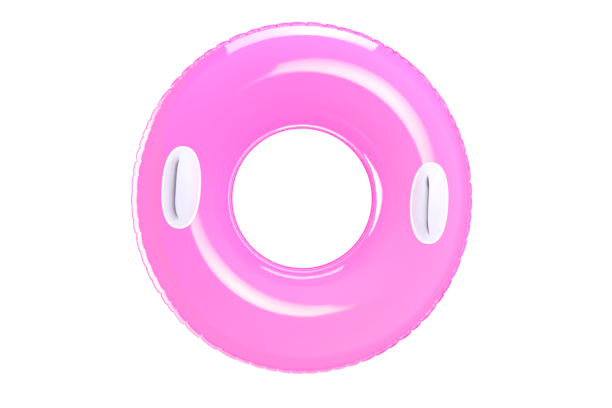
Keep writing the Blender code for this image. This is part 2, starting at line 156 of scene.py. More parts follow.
class Finish:
    """A material, or the sky, with its shader and the nodes before it."""

    def __init__(self, name, kind="ShaderNodeBsdfPrincipled", owner=None, **settings):
        self.owner = owner or bpy.data.materials.new(name)
        self.owner.use_nodes = True
        self.tree = self.owner.node_tree
        self.tree.nodes.clear()
        self.shader = self.tree.nodes.new(kind)
        self.set(**settings)

    def set(self, **settings):
        for name, value in settings.items():
            self.feed(self.shader.inputs[name.replace("_", " ")], value)

    def feed(self, socket, value):
        if isinstance(value, Wire):
            self.tree.links.new(value.socket, socket)
        else:
            socket.default_value = value

    def node(self, kind, settings, sockets, output=0):
        made = self.tree.nodes.new(kind)
        for name, value in settings.items():
            setattr(made, name, value)
        for key, value in sockets.items():
            self.feed(made.inputs[key], value)
        return Wire(self, made.outputs[output])

    def shade(self):
        """The shader's own light, to mix with another's."""
        return Wire(self, self.shader.outputs[0])

    def done(self, kind="ShaderNodeOutputMaterial", surface=None):
        out = self.tree.nodes.new(kind)
        self.feed(out.inputs["Surface"], surface or self.shade())
        return self.owner

    def place(self):
        return self.node("ShaderNodeTexCoord", {}, {}, "Object")

    def along(self, vector, axis):
        return self.node("ShaderNodeSeparateXYZ", {}, {0: vector}, axis)

    def told(self, name):
        """A value that the mesh carries at each vertex."""
        return self.node("ShaderNodeAttribute", {"attribute_name": name}, {}, "Fac")

    def noise(self, vector, scale, detail=2.0, rough=0.5):
        return self.node("ShaderNodeTexNoise", {"noise_dimensions": "3D"},
                         {"Vector": vector, "Scale": scale, "Detail": detail, "Roughness": rough})

    def spread(self, value, low, high, to_low=0.0, to_high=1.0):
        """A value stretched from one range to another, and held at its ends."""
        return self.node("ShaderNodeMapRange", {"clamp": True},
                         {0: value, 1: low, 2: high, 3: to_low, 4: to_high})

    def mix(self, share, first, second):
        return self.node("ShaderNodeMix", {"data_type": "RGBA"}, {0: share, 6: first, 7: second}, 2)

    def bump(self, height, strength, distance, before=None):
        sockets = {"Height": height, "Strength": strength, "Distance": distance}
        if before:
            sockets["Normal"] = before
        return self.node("ShaderNodeBump", {}, sockets)


def screen(red, green, blue):
    """A screen colour, 0 to 255, as light."""
    shares = (value / 255 for value in (red, green, blue))
    return (*((s / 12.92 if s <= 0.04045 else ((s + 0.055) / 1.055) ** 2.4) for s in shares), 1)


def pink_film():
    """Glossy blown-up vinyl, painted paler to the lower right for the light, with painted shade and
    a painted highlight line.
    """
    finish = Finish("pink_vinyl_film", Roughness=0.07, IOR=1.75, Emission_Strength=0.22)
    place = finish.place()
    across = finish.along(place, "X")
    along = finish.along(place, "Y")
    # Painted light: the film is paler towards the lower right and deeper towards the upper left, as
    # the light falls, with a little random unevenness
    slope = finish.spread(across - along, -0.46, 0.46)
    cloud = finish.noise(place, 5.0, 2.0)
    painted_light_share = finish.spread(slope + 0.25 * cloud, 0.12, 1.12) ** 1.3
    seam = finish.told("seam")
    body = finish.mix(painted_light_share, screen(255, 120, 227), screen(255, 147, 224))
    # Painted shade on the tube's outer side: a deeper, warmer pink
    body = finish.mix(0.8 * finish.told("skirt"), body, screen(255, 130, 206))
    # Painted shade in the creases at the notches
    body = finish.mix(0.5 * finish.told("crease_shade"), body, screen(255, 90, 205))
    # Painted shade along the seams
    body = finish.mix(0.4 * seam, body, screen(255, 100, 218))
    # A painted highlight line round the hole's rim
    line = finish.told("rim_highlight")
    body = finish.mix(line, body, screen(255, 232, 246))
    # The seams and the painted highlight line glow a little with their own colour: painted light
    finish.set(Base_Color=body, Emission_Color=finish.mix(seam + line, (0, 0, 0, 1), body))
    ripple = finish.noise(place, 26.0, 1.0)
    grain = finish.noise(place, 900.0, 2.0, 0.6)
    wavy = finish.bump(ripple, 0.25, 0.0006)
    finish.set(Normal=finish.bump(grain, 0.03, 0.0002, wavy))
    return finish.done()


def pink_weld():
    """The welded margin: deeper at the cut edge and along the weld, with painted shade and glow,
    and clearer where light washes it out.
    """
    finish = Finish("pink_welded_margin", Roughness=0.30, IOR=1.45, Coat_Weight=0.3,
                    Coat_Roughness=0.10, Emission_Strength=0.3)
    place = finish.place()
    edge = finish.told("edge")
    line = finish.told("line")
    patch = finish.noise(place, 60.0, 2.0)
    body = finish.mix(patch, screen(255, 124, 208), screen(255, 144, 216))
    # Painted shade deepens the cut edge's colour at the lower right
    cut = finish.mix(finish.told("edge_shade"), screen(238, 42, 202), screen(224, 20, 186))
    body = finish.mix(edge, body, cut)
    body = finish.mix(0.5 * line, body, screen(255, 96, 218))
    # The margin glows a little with its own colour: painted light
    finish.set(Base_Color=body, Emission_Color=body)
    # Clear margins show the white floor through; round the outer one, the clearness stands in for
    # light washing it out
    finish.set(Alpha=1 - finish.told("clear") * (1 - edge) * (1 - line))
    grain = finish.noise(place, 700.0, 2.0, 0.6)
    finish.set(Normal=finish.bump(grain, 0.1, 0.0002))
    return finish.done()


def white_moulding():
    """Satin white soft vinyl of the handles, with a faint moulded grain."""
    finish = Finish("white_moulded_vinyl", Roughness=0.42, IOR=1.46, Specular_IOR_Level=0.25,
                    Subsurface_Weight=0.12, Subsurface_Scale=0.004)
    place = finish.place()
    cloud = finish.noise(place, 30.0, 3.0)
    body = finish.mix(cloud, screen(230, 226, 241), screen(235, 232, 245))
    # A painted highlight along the handle's flat rim
    body = finish.mix(0.9 * finish.told("rim"), body, screen(250, 248, 252))
    body = finish.mix(0.6 * finish.told("foot"), body, screen(246, 216, 236))
    # Painted shade on the left lip, down in the slot
    body = finish.mix(finish.told("lip_shade"), body, screen(178, 166, 196))
    finish.set(Base_Color=body)
    grain = finish.noise(place, 1400.0, 2.0, 0.55)
    finish.set(Normal=finish.bump(grain, 0.10, 0.00015))
    finish.set(Roughness=finish.spread(cloud, 0.3, 0.7, 0.38, 0.47))
    return finish.done()


def milky_moulding():
    """Milky soft vinyl of the air valve."""
    finish = Finish("milky_valve_vinyl", Roughness=0.30, IOR=1.46, Coat_Weight=0.4,
                    Coat_Roughness=0.15, Subsurface_Weight=0.2, Subsurface_Scale=0.002)
    place = finish.place()
    cloud = finish.noise(place, 260.0, 2.0)
    finish.set(Base_Color=finish.mix(cloud, screen(228, 226, 232), screen(238, 236, 242)))
    grain = finish.noise(place, 2600.0, 2.0, 0.5)
    finish.set(Normal=finish.bump(grain, 0.12, 0.0001))
    return finish.done()


# The blown-up ring

def row_height(row):
    """Height of the tube over the seams' plane, at an angle in degrees from the inner seam."""
    return EDGE_LIFT + TUBE_RISE * max(0, math.sin(math.radians(row))) ** TUBE_PINCH


SEAM_HEIGHT = row_height(REST_ROW)

# Every notch has its own place, depth and fold, and a lobe takes its ends from the two beside it
notches = []
for i in range(LOBES):
    notches.append({
        "shift": dice.uniform(-0.17, 0.17) * 2 * math.pi / LOBES,
        "depth": dice.uniform(0.55, 1.25),
        "fold": dice.uniform(0.55, 1.15) * (-1 if 47 <= i < 66 else 1),
        "lap": dice.uniform(0.3, 1.2),
        "lean": (dice.uniform(-0.045, 0.045), dice.uniform(-0.045, 0.045)),
        "slant": dice.uniform(-0.3, 1.1),
    })


def lobe_at(column):
    """The notches before and after a place round the ring, and its share of the way between."""
    turns = LOBES * column / (2 * math.pi) - 0.5
    number = math.floor(turns + 1e-7)
    return notches[number % LOBES], notches[(number + 1) % LOBES], max(0, turns - number)


def blend(first, second, share):
    return first + (second - first) * share


def ease(share):
    share = max(0, min(1, share))
    return share * share * (3 - 2 * share)


def swell_at(column):
    return 1 + sum(size * math.sin(count * column + start) for count, size, start in LOBE_SWELLS)


def left_share(column):
    """1 along the ring's left side, 0 elsewhere."""
    start, full, fading, end = LEFT_SIDE
    turn = math.degrees(column) % 360
    return min(ease((turn - start) / (full - start)), ease((end - turn) / (end - fading)))


def read_off(stops, column):
    """A value that changes evenly from stop to stop round the ring."""
    turn = math.degrees(column) % 360
    for (start, low), (end, high) in zip(stops, stops[1:]):
        if turn <= end:
            return blend(low, high, (turn - start) / (end - start))


class Gather:
    """How the seam is drawn in, lifted and shifted at one place round the ring."""

    def __init__(self, column):
        before, after, way = lobe_at(column)
        depth = blend(before["depth"], after["depth"], way)
        self.arch = math.sin(math.pi * way)
        self.depth = CREASE_DEPTH * swell_at(column) * depth
        # How much painted shade the crease gets: full at a notch
        self.crease_shade = max(0, 1 - min(way, 1 - way) / CREASE_SHARE)
        near_start = 1 - ease(way / FOLD_SHARE)
        near_end = 1 - ease((1 - way) / FOLD_SHARE)
        at_notch = min(way, 1 - way) < 1e-4
        slant = 0 if at_notch else LOBE_SLANT * before["slant"] * (0.5 - way)
        self.drawn = self.depth * (1 - self.arch ** ARCH_POWER) + slant
        left = left_share(column)
        lean_x = LEFT_LEAN[0] + before["lean"][0]
        lean_y = LEFT_LEAN[1] - LEFT_LEAN[2] * math.sin(column) + before["lean"][1]
        across = -lean_x * math.cos(column) - lean_y * math.sin(column)
        along = lean_x * math.sin(column) - lean_y * math.cos(column)
        self.lift = blend(MARGIN_LIFT, across, left)
        folded = FOLD_RISE * (after["fold"] * near_end - before["fold"] * near_start)
        leaning = along * (way - 0.5) * 2 * math.pi * OUTER_RADIUS / LOBES
        self.rise = 0 if at_notch else blend(folded, leaning, left)
        self.extra = EXTRA_MARGIN + LEFT_EXTRA * left
        self.lap = 0 if at_notch else FOLD_LAP * (after["lap"] * near_end ** 3
                                                  - before["lap"] * near_start ** 3)
        crowd = CROWDING * math.sin(2 * math.pi * way) / LOBES
        self.shift = blend(before["shift"], after["shift"], way) - crowd


gathers = [Gather(2 * math.pi * i / COLUMNS) for i in range(COLUMNS)]


def gather_at(column):
    return gathers[round(column * COLUMNS / (2 * math.pi)) % COLUMNS]


def place_on_ring(angle, radius, height):
    """A point of the round, even ring moved to where the gathered and drawn-in ring has it."""
    drift = sum(size * math.sin(count * angle + start) for count, size, start in LOBE_DRIFTS)
    angle += drift
    squeeze = DRAW_IN * math.cos(angle) ** 2 * (radius - HOLE_RADIUS) / (OUTER_RADIUS - HOLE_RADIUS)
    reach = radius - squeeze
    near_hole = (OUTER_RADIUS - radius) / (OUTER_RADIUS - HOLE_RADIUS)
    return Vector((reach * math.cos(angle) + HOLE_SHIFT[0] * near_hole,
                   reach * math.sin(angle) + HOLE_SHIFT[1] * near_hole, height))


def tube_point(row, side):
    """Radius and height of the tube at one row, on its front side (1) or its back side (-1)."""
    radius = TUBE_CENTRE - TUBE_HALF_WIDTH * math.cos(math.radians(row))
    return radius, SEAM_HEIGHT + side * row_height(row)


def tube_normal(row, side):
    """Which way the tube faces there, outwards from the ring's axis and up."""
    across = -math.cos(math.radians(row)) / TUBE_HALF_WIDTH
    up = side * math.sin(math.radians(row)) / TUBE_RISE
    size = math.hypot(across, up)
    return across / size, up / size


def as_object(name, bm, material=None):
    """A finished bmesh as an object of the scene."""
    mesh = bpy.data.meshes.new(name)
    bm.to_mesh(mesh)
    bm.free()
    piece = bpy.data.objects.new(name, mesh)
    bpy.context.scene.collection.objects.link(piece)
    if material:
        mesh.materials.append(material)
    return piece


def keep(name, bm, material, smooth_below=50):
    """A piece of the ring, shaded smooth with its hard corners kept."""
    piece = as_object(name, bm, material)
    piece.data.shade_smooth()
    piece.data.set_sharp_from_angle(angle=math.radians(smooth_below))
    return piece


def drawn_line(bm, profile, closed):
    """A profile of radius and height as a line to spin."""
    vertices = [bm.verts.new((radius, 0, height)) for radius, height in profile]
    ends = vertices[1:] + vertices[:1] if closed else vertices[1:]
    return vertices + [bm.edges.new(pair) for pair in zip(vertices, ends)]


def spin_ring(bm, profile, closed):
    """A profile spun once round the ring's axis: a wedge first, and then its copies."""
    axis = {"cent": (0, 0, 0), "axis": (0, 0, 1)}
    wedge = 2 * math.pi / WEDGES
    bmesh.ops.spin(bm, geom=drawn_line(bm, profile, closed), angle=wedge,
                   steps=COLUMNS // WEDGES, **axis)
    whole = bm.verts[:] + bm.edges[:] + bm.faces[:]
    bmesh.ops.spin(bm, geom=whole, angle=2 * math.pi - wedge, steps=WEDGES - 1,
                   use_duplicate=True, **axis)
    bmesh.ops.remove_doubles(bm, verts=bm.verts, dist=0.000002)


def carried(bm, *names):
    """Values that a mesh carries at each vertex, for its material to read."""
    return [bm.verts.layers.float.new(name) for name in names]


# Rows of the sheets' mesh, in degrees round the tube from the inner seam to the outer one
RIM_ROWS = [0, 0.9, 2.2, 4, 6, 8, 9.5, 11, 12.5, 14, 15.5, 17, 18.5, 20]
BROAD_ROWS = [5.5 * i for i in range(4, 28)]
CREASED_ROWS = [154, 158.5, 162.5, 165.8, 168.5, 170.8, 172.8, 174.5, 176, 177.3, 178.4, 179.3, 180]
SHEET_ROWS = RIM_ROWS + BROAD_ROWS + CREASED_ROWS


def sheet_surface(side):
    """The outer face of one sheet, creased along the outer seam."""
    bm = bmesh.new()
    spin_ring(bm, [tube_point(row, side) for row in SHEET_ROWS], False)
    crease_shade, seam, skirt, rim_highlight = carried(bm, "crease_shade", "seam", "skirt", "rim_highlight")
    for vertex in bm.verts:
        radius = vertex.co.xy.length
        column = math.atan2(vertex.co.y, vertex.co.x) % (2 * math.pi)
        share = max(-1, min(1, (radius - TUBE_CENTRE) / TUBE_HALF_WIDTH))
        from_seam = TUBE_HALF_WIDTH * math.acos(share)
        here = gather_at(column)
        fade = math.exp(-from_seam / CREASE_REACH)
        fine = math.exp(-from_seam / (0.6 * CREASE_REACH))
        drawn = here.drawn * fade
        row = 180 - math.degrees(math.acos(share))
        across, up = tube_normal(row, side)
        height = max(0, vertex.co.z - drawn * up + here.rise * fine)
        radius -= drawn * across + here.extra * math.exp(-from_seam / EXTRA_REACH)
        vertex.co = place_on_ring(column + here.shift * fade, radius, height)
        # painted shade in the creases
        vertex[crease_shade] = here.crease_shade * fine
        # painted shade, and a glow, along the seams
        vertex[seam] = math.exp(-(from_seam / SEAM_SHADE_BLEND) ** 2)
        # painted shade on the tube's outer side
        vertex[skirt] = ease((row - read_off(SKIRT_SHADE_ROWS, column)) / SKIRT_SHADE_BLEND)
        # A painted highlight line round the hole's rim
        off_line = abs(TUBE_CENTRE + share * TUBE_HALF_WIDTH - read_off(RIM_HIGHLIGHT_RADII, column))
        plain = read_off(RIM_HIGHLIGHT_STOPS, column)
        vertex[rim_highlight] = plain * max(0, 1 - off_line / RIM_HIGHLIGHT_HALF_WIDTH)
    bmesh.ops.recalc_face_normals(bm, faces=bm.faces)
    crest = max(bm.faces, key=lambda face: side * face.calc_center_median().z)
    if crest.normal.z * side < 0:
        bmesh.ops.reverse_faces(bm, faces=bm.faces)
    return bm


def add_wall(piece, thickness):
    wall = piece.modifiers.new("wall", "SOLIDIFY")
    wall.thickness = thickness
    wall.offset = -1


def margin_profile(near, far):
    """Half of a welded margin's section: its top from the tube to the rounded edge."""
    out = 1 if far > near else -1
    width = abs(far - near)
    half = WELD / 2
    top = [(0, half), (WELD_TUCK - 0.0002, half), (WELD_TUCK + 0.0003, half * 0.72),
           (WELD_TUCK + 0.0016, half * 0.72), (WELD_TUCK + 0.0020, half)]
    rest = width - WELD_TUCK
    top += [(WELD_TUCK + 0.45 * rest, half), (width - 0.0018, half), (width - 0.0011, half),
            (width - 0.0004, half * 0.92), (width - 0.0001, half * 0.55)]
    points = [(near + out * reach, SEAM_HEIGHT + height) for reach, height in top]
    points.append((far, SEAM_HEIGHT))
    points += [(near + out * reach, SEAM_HEIGHT - height) for reach, height in reversed(top)]
    return points


def welded_margin(name, near, far, gathered, material):
    """A margin from between the sheets out to its edge, gathered like the outer one or smooth."""
    bm = bmesh.new()
    spin_ring(bm, margin_profile(near, far), True)
    edge, line, clear, edge_shade = carried(bm, "edge", "line", "clear", "edge_shade")
    width = abs(far - near)
    for vertex in bm.verts:
        radius = vertex.co.xy.length
        column = math.atan2(vertex.co.y, vertex.co.x) % (2 * math.pi)
        reach = abs(radius - near)
        past = max(0, (reach - WELD_TUCK) / (width - WELD_TUCK))
        shown = read_off(EDGE_STOPS, column) if gathered else 1
        edge_width = read_off(EDGE_WIDTHS, column) if gathered else INNER_EDGE_WIDTH
        vertex[edge] = shown * ease((reach - width + edge_width) / EDGE_BLEND)
        # painted shade on the cut edge
        vertex[edge_shade] = read_off(EDGE_SHADE_STOPS, column) if gathered else 0
        # clearness that stands in for light on the outer margin
        share = read_off(PAINTED_LIGHT_CLEAR_STOPS, column) if gathered else INNER_CLEAR
        vertex[clear] = blend(share ** 2, min(1, 3 * share), past)
        weld = abs(reach - WELD_TUCK - 0.0009)
        vertex[line] = 1 - ease((weld - 0.0005) / 0.0008) if gathered else 0
        band = max(0, 1 - abs(past - 0.6) / 0.4)
        side = 1 if vertex.co.z > SEAM_HEIGHT else -1
        knurl = side * 0.00004 * band * math.cos(KNURLS * column + 1500 * reach)
        height = vertex.co.z + knurl
        if gathered:
            here = gather_at(column)
            height += here.rise * (1 + 0.3 * past)
            height += here.lift * past * (width - WELD_TUCK + here.extra)
            lap = here.lap * past / OUTER_RADIUS
            radius -= here.extra * (1 - past) + here.drawn
            vertex.co = place_on_ring(column + here.shift + lap, radius, height)
        else:
            vertex.co = place_on_ring(column, radius, height)
    bmesh.ops.recalc_face_normals(bm, faces=bm.faces)
    return keep(name, bm, material)


# The handles

HANDLE_LENGTH = 0.172
HANDLE_WIDTH = 0.0800
HANDLE_FLANGE = 0.0060
HANDLE_WALL = 0.0016
HANDLE_RISE = 0.0240
HANDLE_CREST = 0.60          # the way from the rim to the dome's highest line
OVAL_POWER = 2.35
SLOT_POWER = 3.2
DOME_POWER = 0.85
LIP_POWER = 1.8
TAPER_POWER = 2.5
HANDLE_POINTS = 72
SLOT_LENGTH = 0.119
FLANGE_SHARE = 0.17          # the way from the rim to the dome's foot
HANDLE_WAYS = (0.02, 0.06, 0.105, 0.125, 0.145, FLANGE_SHARE, 0.19, 0.22, 0.26, 0.31, 0.37, 0.44,
               0.52, 0.60, 0.68, 0.76, 0.83, 0.89, 0.94, 0.98, 1.0)
SEAT_GAP = 0.0003


def seat_height(x, y):
    """Height of the front sheet over a place near the top of the tube."""
    x -= 0.5 * HOLE_SHIFT[0]
    y -= 0.5 * HOLE_SHIFT[1]
    angle = math.atan2(y, x)
    squeeze = DRAW_IN * math.cos(angle) ** 2 / (OUTER_RADIUS - HOLE_RADIUS)
    radius = (math.hypot(x, y) - squeeze * HOLE_RADIUS) / (1 - squeeze)
    share = (radius - TUBE_CENTRE) / TUBE_HALF_WIDTH
    return SEAM_HEIGHT + row_height(180 - math.degrees(math.acos(share)))


def on_seat(x, y, lift):
    """A place lifted off the front sheet, square to it."""
    step = 0.001
    slope_x = (seat_height(x + step, y) - seat_height(x - step, y)) / (2 * step)
    slope_y = (seat_height(x, y + step) - seat_height(x, y - step)) / (2 * step)
    normal = Vector((-slope_x, -slope_y, 1)).normalized()
    return Vector((x, y, seat_height(x, y))) + normal * lift


def dome_share(way, lip_drop):
    """The dome's height on the way from the rim (0) to the slot (1), as a share."""
    if way <= FLANGE_SHARE:
        return 0
    if way <= HANDLE_CREST:
        climb = (way - FLANGE_SHARE) / (HANDLE_CREST - FLANGE_SHARE)
        return math.sin(math.pi / 2 * climb) ** DOME_POWER
    past = (way - HANDLE_CREST) / (1 - HANDLE_CREST)
    return 1 - lip_drop * past ** LIP_POWER


HANDLE_CENTRE = TUBE_CENTRE - DRAW_IN * (TUBE_CENTRE - HOLE_RADIUS) / (OUTER_RADIUS - HOLE_RADIUS)


class Handle:
    """A soft domed handle, with a slot whose right lip lies over its sunken left one."""

    def __init__(self, middle, slot_middle, line, lap, bends, slits, left_height, sunk, raised,
                 shade):
        self.middle = middle
        self.slot_middle = slot_middle   # along the handle, from its own middle
        self.line = line             # where the lips meet at mid length, from the handle's middle
        self.lap = lap               # how far the right lip lies over the left one
        self.bends = bends           # how far to the right of the line the slot's two ends lie
        self.slits = slits           # how far the lips part near each end
        self.left_height = left_height   # the dome's height left of the slot, as a share
        self.sunk = sunk             # how much of that height the left lip loses
        self.raised = raised         # and how much the right lip
        self.shade = shade           # how much painted shade greys the left lip, down in the slot

    def slot(self, angle):
        """A place on the slot's edge, and how much of the dome's height is lost there."""
        c = math.cos(angle)
        s = math.sin(angle)
        share = math.copysign(abs(s) ** (2 / SLOT_POWER), s)
        end = 0 if share > 0 else 1
        across = self.line + self.bends[end] * share ** 4
        if c < 0:
            under = blend(self.lap, -self.slits[end], ease((abs(share) - 0.45) / 0.3))
            across += under * (1 - share ** 16)
        held = self.raised if c > 0 else self.sunk
        lost = blend(held, (self.raised + self.sunk) / 2, share ** 8)
        return across, self.slot_middle + share * SLOT_LENGTH / 2, lost

    def point(self, angle, way):
        """A place on the handle's outside, on the way from its rim (0) to its slot (1)."""
        c = math.cos(angle)
        s = math.sin(angle)
        rim_x = math.copysign(abs(c) ** (2 / OVAL_POWER), c) * HANDLE_WIDTH / 2
        rim_y = math.copysign(abs(s) ** (2 / OVAL_POWER), s) * HANDLE_LENGTH / 2
        slot_x, slot_y, lost = self.slot(angle)
        flange = HANDLE_FLANGE / math.hypot(slot_x - rim_x, slot_y - rim_y)
        if way < FLANGE_SHARE:
            inwards = way / FLANGE_SHARE * flange
        else:
            inwards = blend(flange, 1, (way - FLANGE_SHARE) / (1 - FLANGE_SHARE))
        across = blend(rim_x, slot_x, inwards)
        along = blend(rim_y, slot_y, inwards)
        dome_end = HANDLE_LENGTH / 2 - HANDLE_FLANGE
        taper = max(0, 1 - (abs(along) / dome_end) ** TAPER_POWER)
        level = blend(1, self.left_height, ease(0.5 - 1.5 * c))
        rise = (HANDLE_RISE - HANDLE_WALL) * level * dome_share(way, lost) * taper
        return on_seat(self.middle[0] + across, self.middle[1] + along,
                       SEAT_GAP + HANDLE_WALL + rise)


def handle_moulding(name, handle, material):
    """The rim is a circle, and each loop is drawn out from the one before it."""
    bm = bmesh.new()
    turn, foot, handle_rim_highlight, lip_shade = carried(bm, "turn", "foot", "rim", "lip_shade")
    rim = bmesh.ops.create_circle(bm, segments=HANDLE_POINTS, radius=1)["verts"]
    edges = bm.edges[:]
    for vertex in rim:
        vertex[turn] = math.atan2(vertex.co.y, vertex.co.x)
        vertex.co = handle.point(vertex[turn], 0)
    for way in HANDLE_WAYS:
        grown = bmesh.ops.extrude_edge_only(bm, edges=edges)["geom"]
        edges = [item for item in grown if isinstance(item, bmesh.types.BMEdge)]
        loop = [item for item in grown if isinstance(item, bmesh.types.BMVert)]
        edges = [edge for edge in edges if all(end in loop for end in edge.verts)]
        for vertex in loop:
            vertex.co = handle.point(vertex[turn], way)
            vertex[foot] = math.exp(-((way - FLANGE_SHARE) / 0.03) ** 2)
            # painted highlight on the flat rim
            vertex[handle_rim_highlight] = 1 - ease((way - 0.10) / 0.06)
            # painted shade on the left lip near the slot
            on_left = ease(-1.6 * math.cos(vertex[turn]))
            vertex[lip_shade] = handle.shade * ease((way - 0.24) / 0.56) * on_left
    bmesh.ops.recalc_face_normals(bm, faces=bm.faces)
    if sum(face.normal.z for face in bm.faces) < 0:
        bmesh.ops.reverse_faces(bm, faces=bm.faces)
    piece = keep(name, bm, material, 70)
    add_wall(piece, HANDLE_WALL)
    rounding = piece.modifiers.new("rounding", "SUBSURF")
    rounding.levels = 1
    rounding.render_levels = 1
    return piece


# The air valve, on the lower outer side of the back sheet

VALVE_ROW = 139
VALVE_COLUMN = -90
VALVE_HOLE = 0.0130
FLANGE_OUTER = 0.0170
FLANGE_BORE = 0.0116
VALVE_PAD = 0.0225
VALVE_PAD_FADE = 0.0150
VALVE_STEPS = 48


def valve_frame():
    radius, height = tube_point(VALVE_ROW, -1)
    across, up = tube_normal(VALVE_ROW, -1)
    angle = math.radians(VALVE_COLUMN)
    out = Vector((math.cos(angle), math.sin(angle), 0))
    z_axis = (out * across + Vector((0, 0, up))).normalized()
    x_axis = Vector((0, 0, 1)).cross(out).normalized()
    y_axis = z_axis.cross(x_axis)
    turn = Matrix((x_axis, y_axis, z_axis)).transposed().to_4x4()
    return Matrix.Translation(out * radius + Vector((0, 0, height))) @ turn


VALVE = valve_frame()


def flatten_pad(bm):
    """Lays the back sheet flat round the valve."""
    to_valve = VALVE.inverted()
    for vertex in bm.verts:
        local = to_valve @ vertex.co
        if abs(local.z) > VALVE_PAD + VALVE_PAD_FADE:
            continue
        local.z *= ease((local.xy.length - VALVE_PAD) / VALVE_PAD_FADE)
        vertex.co = VALVE @ local


def turned(bm, outline, closed=True):
    """An outline of radius and height spun round the valve's axis, +Z out of the sheet."""
    bmesh.ops.spin(bm, geom=drawn_line(bm, outline, closed), cent=(0, 0, 0), axis=(0, 0, 1),
                   angle=2 * math.pi, steps=VALVE_STEPS, use_merge=True)
    bmesh.ops.remove_doubles(bm, verts=bm.verts, dist=0.000005)
    bmesh.ops.recalc_face_normals(bm, faces=bm.faces)


def soften(piece, width):
    bevel = piece.modifiers.new("soft_edges", "BEVEL")
    bevel.width = width
    bevel.segments = 2
    bevel.limit_method = "ANGLE"
    bevel.angle_limit = math.radians(35)


def block(bm, low, high):
    made = bmesh.ops.create_cube(bm, size=1)["verts"]
    size = Vector(high) - Vector(low)
    bmesh.ops.scale(bm, vec=size, verts=made)
    bmesh.ops.translate(bm, vec=(Vector(high) + Vector(low)) / 2, verts=made)
    return made


def valve_piece(name, bm, body, material, edge=0.00012):
    bmesh.ops.transform(bm, matrix=VALVE, verts=bm.verts)
    piece = keep(name, bm, material, 40)
    if edge:
        soften(piece, edge)
    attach(piece, body)
    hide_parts(name)
    return piece


def build_valve(material):
    flange = bmesh.new()
    turned(flange, [(FLANGE_OUTER, -0.0005), (FLANGE_OUTER, -0.0017), (FLANGE_BORE, -0.0017),
                    (FLANGE_BORE, -0.0007), (FLANGE_BORE + 0.0004, -0.0005)])
    valve_piece("valve_flange", flange, "ring", material)

    skirt = bmesh.new()
    turned(skirt, [(0.0140, -0.0020), (0.0118, -0.0020), (0.0112, -0.0022), (0.0105, -0.0030),
                   (0.0101, -0.0048), (0.0098, -0.0068), (0.0096, -0.0088), (0.0092, -0.0104),
                   (0.0085, -0.0111), (0.0076, -0.0113), (0.0065, -0.0113)], closed=False)
    bmesh.ops.solidify(skirt, geom=skirt.faces[:], thickness=0.0006)
    bmesh.ops.recalc_face_normals(skirt, faces=skirt.faces)
    bmesh.ops.transform(skirt, matrix=VALVE, verts=skirt.verts)
    web = keep("valve_skirt", skirt, material, 60)
    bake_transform(web)
    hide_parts("valve_skirt")

    stem = bmesh.new()
    turned(stem, [(0.0064, -0.0010), (0.0068, -0.0014), (0.0068, -0.0020), (0.0062, -0.0024),
                  (0.0062, -0.0097), (0.0084, -0.0097), (0.0084, -0.0107), (0.0062, -0.0107),
                  (0.0062, -0.0125), (0.0042, -0.0125), (0.0042, -0.0014), (0.0046, -0.0010)])
    valve_piece("valve_stem", stem, "stem", material)

    tether = bmesh.new()
    turned(tether, [(0.0075, -0.0027), (0.0075, -0.0036), (0.0065, -0.0036), (0.0065, -0.0027)])
    block(tether, (-0.0015, 0.0070, -0.0036), (0.0015, 0.0094, -0.0027))
    block(tether, (-0.0015, 0.0086, -0.0034), (0.0015, 0.0094, -0.0010))
    valve_piece("valve_tether", tether, "stem", material)

    plug = bmesh.new()
    turned(plug, [(0, 0.0005), (0.0030, 0.0005), (0.0034, 0.0007), (0.0064, 0.0007),
                  (0.0069, 0.0002), (0.0069, -0.0007), (0.0039, -0.0007), (0.00305, -0.0052),
                  (0, -0.0052)], closed=False)
    block(plug, (-0.0015, 0.0061, -0.0007), (0.0015, 0.0094, 0.0001))
    tab = bmesh.ops.create_cone(plug, cap_ends=True, segments=32, radius1=0.0028, radius2=0.0028,
                                depth=0.0008)["verts"]
    bmesh.ops.translate(plug, vec=(0, -0.0072, -0.0003), verts=tab)
    for reach in (-0.0078, -0.0087, -0.0096):
        block(plug, (-0.0014, reach - 0.0001, 0.0), (0.0014, reach + 0.0002, 0.00025))
    valve_piece("valve_plug", plug, "plug", material)

    flap = bmesh.new()
    bmesh.ops.create_cone(flap, cap_ends=True, segments=VALVE_STEPS, radius1=0.0058,
                          radius2=0.0058, depth=0.0007)
    bmesh.ops.translate(flap, vec=(0, 0, -0.01315), verts=flap.verts)
    valve_piece("valve_flap", flap, "flap", material)


def cut_valve_hole(sheet):
    """Cuts the valve's hole in the back sheet, and leaves the sheet with no modifier."""
    tool = bmesh.new()
    bmesh.ops.create_cone(tool, cap_ends=True, segments=VALVE_STEPS, radius1=VALVE_HOLE,
                          radius2=VALVE_HOLE, depth=0.016)
    bmesh.ops.transform(tool, matrix=VALVE, verts=tool.verts)
    cutter = as_object("valve_hole", tool)
    step = sheet.modifiers.new("valve_hole", "BOOLEAN")
    step.operation = "DIFFERENCE"
    step.solver = "EXACT"
    step.object = cutter
    shaped = sheet.evaluated_get(bpy.context.evaluated_depsgraph_get())
    done = bpy.data.meshes.new_from_object(shaped)
    sheet.modifiers.clear()
    sheet.data = done
    bpy.data.objects.remove(cutter, do_unlink=True)


def build_ring(film, weld):
    front = keep("front_sheet", sheet_surface(1), film)
    add_wall(front, FILM)
    back_shape = sheet_surface(-1)
    flatten_pad(back_shape)
    back = keep("back_sheet", back_shape, film)
    add_wall(back, FILM)
    cut_valve_hole(back)
    outer = welded_margin("outer_seam", TUBE_OUTER - WELD_TUCK, OUTER_RADIUS, True, weld)
    inner = welded_margin("inner_seam", TUBE_INNER + WELD_TUCK, HOLE_RADIUS + 0.0006, False,
                          weld)
    for piece, node, finish in ((front, "front_sheet", "vinyl"), (back, "back_sheet", "vinyl"),
                                (outer, "outer_seam", "weld"), (inner, "inner_seam", "weld")):
        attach(piece, "ring")
        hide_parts(node)


